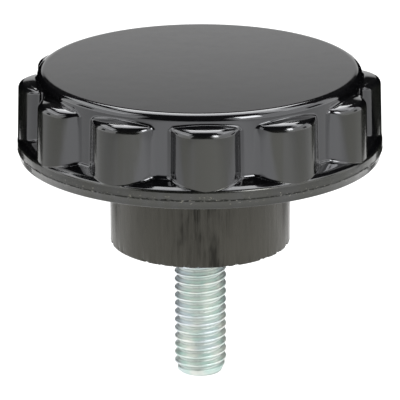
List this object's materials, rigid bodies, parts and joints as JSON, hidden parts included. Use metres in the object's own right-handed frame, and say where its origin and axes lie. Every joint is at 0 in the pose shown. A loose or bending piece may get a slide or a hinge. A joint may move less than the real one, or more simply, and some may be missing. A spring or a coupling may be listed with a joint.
{
  "type": "fluted knob",
  "caption": "Round black clamping knob with rounded grip lobes round its head, a plain boss below and a threaded steel stud that screws into a tapped hole.",
  "frame": {"origin": "centre of the seat at the bottom of the boss, where the stud leaves it", "axes": "+Z along the stud's axis towards the head, -Y towards the viewer of the picture"},
  "size_m": [0.0666, 0.0666, 0.0584],
  "materials": {
    "knob_body": "glossy moulded black phenolic",
    "threaded_stud": "bright zinc plate"
  },
  "bodies": {
    "root": {"knob_body": "knob_body", "threaded_stud": "threaded_stud"}
  },
  "joints": []
}
